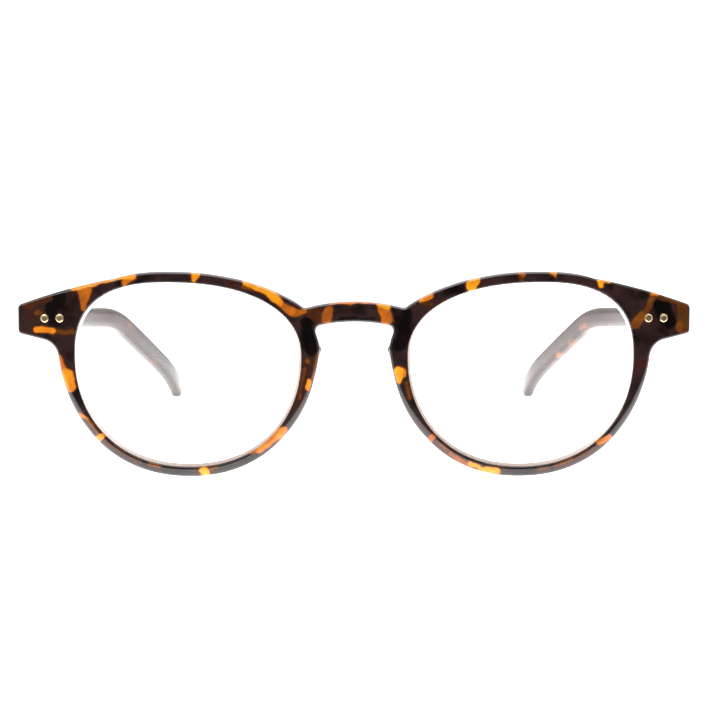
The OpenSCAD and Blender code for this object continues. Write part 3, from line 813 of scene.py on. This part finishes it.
def add_rivets(material):
    for name, side in SIDES.items():
        for which, pitch in (("inner", RIVET_PITCH), ("outer", 0)):
            x = HINGE_X - RIVET_INSET - pitch
            rise = (HINGE_Y - float(face_y(x))) * math.tan(PANTOSCOPIC)
            head = front_to_row([x, float(face_y(x)), LUG_Z - RIVET_DROP + rise])
            aim = turned([x / FACE_R, -math.cos(math.asin(x / FACE_R)), 0], LEAN)
            add_rivet(
                f"front_stud_{which}_{name}", f"front_rivet_{which}_{name}", "front",
                mirrored(head, side), mirrored(aim, side), FRONT_T / 2, material,
            )
        for which, y in (("fore", TEMPLE_RIVET_AT), ("aft", TEMPLE_RIVET_AT + RIVET_PITCH)):
            head = hinge_to_row([AXIS_INSET + TEMPLE_T, y, 0])
            add_rivet(
                f"arm_stud_{which}_{name}", f"temple_rivet_{which}_{name}", "temple_" + name,
                mirrored(head, side), (side, 0, 0), TEMPLE_T - LEAF_T / 2, material,
            )


# ---- Hinge metal: the CAD's own solids with their edges broken ----
EDGE_BREAK = 0.06


def add_broken_edges(node, name, body, material):
    source = frame["nodes"][node]
    mesh = source.data.copy()
    bm = bmesh.new()
    bm.from_mesh(mesh)
    bmesh.ops.remove_doubles(bm, verts=bm.verts, dist=0.001 * MM)
    bmesh.ops.dissolve_limit(bm, angle_limit=math.radians(1), verts=bm.verts, edges=bm.edges)
    bm.to_mesh(mesh)
    bm.free()
    mesh.materials.clear()
    mesh.materials.append(material)
    piece = bpy.data.objects.new(name, mesh)
    bpy.context.scene.collection.objects.link(piece)
    bevel = piece.modifiers.new("broken_edges", "BEVEL")
    bevel.width = EDGE_BREAK * MM
    bevel.segments = 2
    bevel.limit_method = "ANGLE"
    bevel.angle_limit = math.radians(40)
    apply_modifiers(piece)
    piece.data.shade_smooth()
    smooth_where_flat(piece, 35)
    return place(piece, body, node)


# ---- Materials ----
def new_material(name):
    material = bpy.data.materials.new(name)
    material.use_nodes = True
    tree = material.node_tree
    shader = next(n for n in tree.nodes if n.type == "BSDF_PRINCIPLED")
    return material, tree, shader


def add_node(tree, kind, **settings):
    node = tree.nodes.new(kind)
    for key, value in settings.items():
        if key in node.inputs:
            node.inputs[key].default_value = value
        else:
            setattr(node, key, value)
    return node


def noise(tree, scale, detail, coordinates, distortion=0.0):
    node = add_node(tree, "ShaderNodeTexNoise")
    node.inputs["Scale"].default_value = scale
    node.inputs["Detail"].default_value = detail
    node.inputs["Distortion"].default_value = distortion
    tree.links.new(coordinates, node.inputs["Vector"])
    return node.outputs["Fac"]


def ramp(tree, source, stops):
    node = add_node(tree, "ShaderNodeValToRGB")
    elements = node.color_ramp.elements
    while len(elements) < len(stops):
        elements.new(0.5)
    for element, (place_at, color) in zip(elements, stops):
        element.position = place_at
        element.color = (*color, 1)
    tree.links.new(source, node.inputs["Fac"])
    return node.outputs["Color"]


def math_node(tree, operation, a, b):
    node = add_node(tree, "ShaderNodeMath", operation=operation)
    for socket, value in zip(node.inputs, (a, b)):
        if isinstance(value, (int, float)):
            socket.default_value = value
        else:
            tree.links.new(value, socket)
    return node.outputs["Value"]


# Colour of the plastic against how amber it is; the violet-brown at 0.15 stands in for satin sheen, as
# painted sheen
TINT_COLORS = [
    (-0.25, (0.0004, 0.0001, 0.0001)), (0, (0.004, 0.001, 0.0007)), (0.15, (0.018, 0.008, 0.0075)),
    (0.3, (0.026, 0.0045, 0.001)), (0.45, (0.038, 0.010, 0.0006)), (0.6, (0.075, 0.020, 0.0008)),
    (0.76, (0.19, 0.043, 0.0006)), (0.9, (0.38, 0.094, 0.0005)), (1.05, (0.50, 0.25, 0.001)),
]
TINT_LOW, TINT_HIGH = TINT_COLORS[0][0], TINT_COLORS[-1][0]


def spread(tree, source, low, high, to_low, to_high):
    """Maps a value from one range to another, with its ends held."""
    node = add_node(tree, "ShaderNodeMapRange")
    for socket, value in zip(list(node.inputs)[1:5], (low, high, to_low, to_high)):
        socket.default_value = value
    tree.links.new(source, node.inputs["Value"])
    return node.outputs["Result"]


def tortoise(name, patches):
    """Dark plastic with amber streaks: stored ones on the front, clouds of noise on a temple, and random
    clouds of violet-brown painted sheen over the dark.
    """
    material, tree, shader = new_material(name)
    coordinates = add_node(tree, "ShaderNodeTexCoord").outputs["Object"]
    # Random clouds that lift the dark plastic towards violet-brown: painted sheen.
    painted_sheen_cloud = spread(tree, noise(tree, 150, 2, coordinates, 0.5), 0.35, 0.68, 0, 0.24)
    mottle = spread(tree, noise(tree, 420, 3, coordinates, 0.3), 0.2, 0.8, -0.07, 0.07)
    if patches == "stored":
        # On the front the stored tint also holds painted highlights and painted shade along a few edges.
        streaks = add_node(tree, "ShaderNodeAttribute", attribute_name="tint").outputs["Fac"]
    else:
        streaks = spread(tree, noise(tree, 150, 1, coordinates, 0.8), 0.56, 0.78, 0.2, 0.8)
    plain = math_node(tree, "MAXIMUM", streaks, 0)
    room = math_node(tree, "SUBTRACT", 1, plain)
    total = math_node(tree, "ADD", streaks, math_node(tree, "MULTIPLY", painted_sheen_cloud, room))
    total = math_node(tree, "ADD", total, mottle)
    share = spread(tree, total, TINT_LOW, TINT_HIGH, 0, 1)
    stops = [((tint - TINT_LOW) / (TINT_HIGH - TINT_LOW), color) for tint, color in TINT_COLORS]
    tree.links.new(ramp(tree, share, stops), shader.inputs["Base Color"])
    fine = noise(tree, 900, 2, coordinates)
    tree.links.new(spread(tree, fine, 0.3, 0.7, 0.16, 0.22), shader.inputs["Roughness"])
    bump = add_node(tree, "ShaderNodeBump")
    bump.inputs["Strength"].default_value = 0.02
    bump.inputs["Distance"].default_value = 0.0001
    tree.links.new(noise(tree, 300, 1, coordinates), bump.inputs["Height"])
    tree.links.new(bump.outputs["Normal"], shader.inputs["Normal"])
    shader.inputs["IOR"].default_value = 1.49
    return material


def clear_lens():
    material, tree, shader = new_material("clear_lens")
    coordinates = add_node(tree, "ShaderNodeTexCoord").outputs["Object"]
    tone = ramp(tree, noise(tree, 60, 1, coordinates), [(0.3, (0.985, 0.99, 0.99)), (0.7, (1, 1, 1))])
    tree.links.new(tone, shader.inputs["Base Color"])
    shader.inputs["Roughness"].default_value = 0
    shader.inputs["IOR"].default_value = 1.5
    shader.inputs["Transmission Weight"].default_value = 1
    return material


FACET_PALE = (0.80, 0.75, 0.73)
# The bevel's painted shade at its darkest.
FACET_PAINTED_SHADE = (0.40, 0.31, 0.27)


def ground_lens_edge():
    """The lens's ground bevel: matt and pale, with fine grinding marks, and a painted shade standing for the
    rim seen in it, darker below and by the nose.
    """
    material, tree, shader = new_material("ground_lens_edge")
    coordinates = add_node(tree, "ShaderNodeTexCoord").outputs["Object"]
    # The bevel's painted shade, darker below and by the nose.
    painted_shade = add_node(tree, "ShaderNodeAttribute", attribute_name="tint").outputs["Fac"]
    marks = spread(tree, noise(tree, 2600, 2, coordinates), 0.3, 0.7, -0.15, 0.15)
    tone = math_node(tree, "ADD", painted_shade, marks)
    tree.links.new(ramp(tree, tone, [(0, FACET_PALE), (1, FACET_PAINTED_SHADE)]), shader.inputs["Base Color"])
    shader.inputs["Roughness"].default_value = 0.6
    return material


def metal(name, dark, light, roughness, scale):
    material, tree, shader = new_material(name)
    coordinates = add_node(tree, "ShaderNodeTexCoord").outputs["Object"]
    tree.links.new(
        ramp(tree, noise(tree, scale, 4, coordinates), [(0.35, dark), (0.65, light)]),
        shader.inputs["Base Color"],
    )
    wear = noise(tree, scale * 2, 3, coordinates)
    tree.links.new(spread(tree, wear, 0.3, 0.7, roughness * 0.8, roughness * 1.3), shader.inputs["Roughness"])
    shader.inputs["Metallic"].default_value = 1
    return material


GLOW_RADIUS, GLOW_END = 0.05, 0.26  # metres from the point of the table under the front
GLOW_NEAR, GLOW_FAR = 2.3, 0.35


def floor_material():
    """A pale table, lit from below under the object as a light table is."""
    material, tree, shader = new_material("white_table")
    coordinates = add_node(tree, "ShaderNodeTexCoord").outputs["Object"]
    tree.links.new(
        ramp(tree, noise(tree, 40, 2, coordinates), [(0.2, (0.93, 0.93, 0.93)), (0.8, (0.95, 0.95, 0.95))]),
        shader.inputs["Base Color"],
    )
    shader.inputs["Roughness"].default_value = 0.6
    shader.inputs["Emission Color"].default_value = (1, 1, 1, 1)
    away = add_node(tree, "ShaderNodeVectorMath", operation="LENGTH")
    tree.links.new(coordinates, away.inputs[0])
    glow = spread(tree, away.outputs["Value"], GLOW_RADIUS, GLOW_END, GLOW_NEAR, GLOW_FAR)
    tree.links.new(glow, shader.inputs["Emission Strength"])
    return material


# ---- Studio ----
CARD_HALF = 1300
CARD_DEPTH = -800


def add_floor():
    size = 3
    points = np.array([[-size, -size, 0], [size, -size, 0], [size, size, 0], [-size, size, 0]]) / MM
    floor = add_mesh("table", points, [[0, 1, 2, 3]], floor_material())
    floor.location.y = foremost * MM


def add_black_card(name, near, far):
    """A black card that only reflections see, between a near and a far edge given as (y, z)."""
    material, tree, shader = new_material(name)
    shader.inputs["Base Color"].default_value = (0.01, 0.01, 0.01, 1)
    shader.inputs["Roughness"].default_value = 1
    points = [[-CARD_HALF, *near], [CARD_HALF, *near], [CARD_HALF, *far], [-CARD_HALF, *far]]
    card = add_mesh(name, points, [[0, 1, 2, 3]], material)
    card.visible_camera = False
    card.visible_diffuse = False
    card.visible_transmission = False
    card.visible_shadow = False


def add_light(name, at, aim, size, power):
    data = bpy.data.lights.new(name, "AREA")
    data.shape = "RECTANGLE"
    data.size, data.size_y = size
    data.energy = power
    light = bpy.data.objects.new(name, data)
    bpy.context.scene.collection.objects.link(light)
    light.location = at
    light.rotation_euler = (Vector(aim) - Vector(at)).to_track_quat("-Z", "Y").to_euler()


def add_studio():
    world = bpy.data.worlds.new("studio")
    bpy.context.scene.world = world
    world.use_nodes = True
    world.node_tree.nodes["Background"].inputs["Color"].default_value = (1, 1, 1, 1)
    world.node_tree.nodes["Background"].inputs["Strength"].default_value = 1.05
    bpy.context.scene.view_settings.view_transform = "Standard"
    add_light("overhead", (0, 0.1, 0.9), (0, 0, 0), (1.0, 0.8), 9)
    add_light("key", (-0.7, -0.5, 0.7), (0, 0, 0.02), (0.5, 0.5), 3)


add_camera()
front_plastic = tortoise("tortoise_front", "stored")
arm_plastic = tortoise("tortoise_temple", "noise")
glass = clear_lens()
ground_glass = ground_lens_edge()
brass = metal("rivet_brass", (0.70, 0.50, 0.24), (0.86, 0.68, 0.40), 0.3, 2500)
steel = metal("hinge_steel", (0.52, 0.52, 0.53), (0.70, 0.70, 0.71), 0.28, 1800)
add_front(front_plastic)
for side_name, side_sign in SIDES.items():
    add_lens(side_name, side_sign, glass, ground_glass)
    add_pad(side_name, side_sign, front_plastic)
    add_temple(side_name, side_sign, arm_plastic)
    add_broken_edges(f"front_hinge_leaf_{side_name}", f"front_leaf_{side_name}", "front", steel)
    add_broken_edges(f"hinge_screw_{side_name}", f"screw_{side_name}", "front", steel)
    add_broken_edges(f"temple_hinge_leaf_{side_name}", f"arm_leaf_{side_name}", f"temple_{side_name}", steel)
    wire = frame["nodes"][f"core_wire_{side_name}"]
    wire.data.materials.clear()
    wire.data.materials.append(steel)
add_rivets(brass)
add_floor()
add_black_card("black_card_low", (-102, 1), (CARD_DEPTH, 1))
add_black_card("black_card_high", (CARD_DEPTH, 1), (CARD_DEPTH, 1100))
add_studio()

bpy.context.view_layer.update()
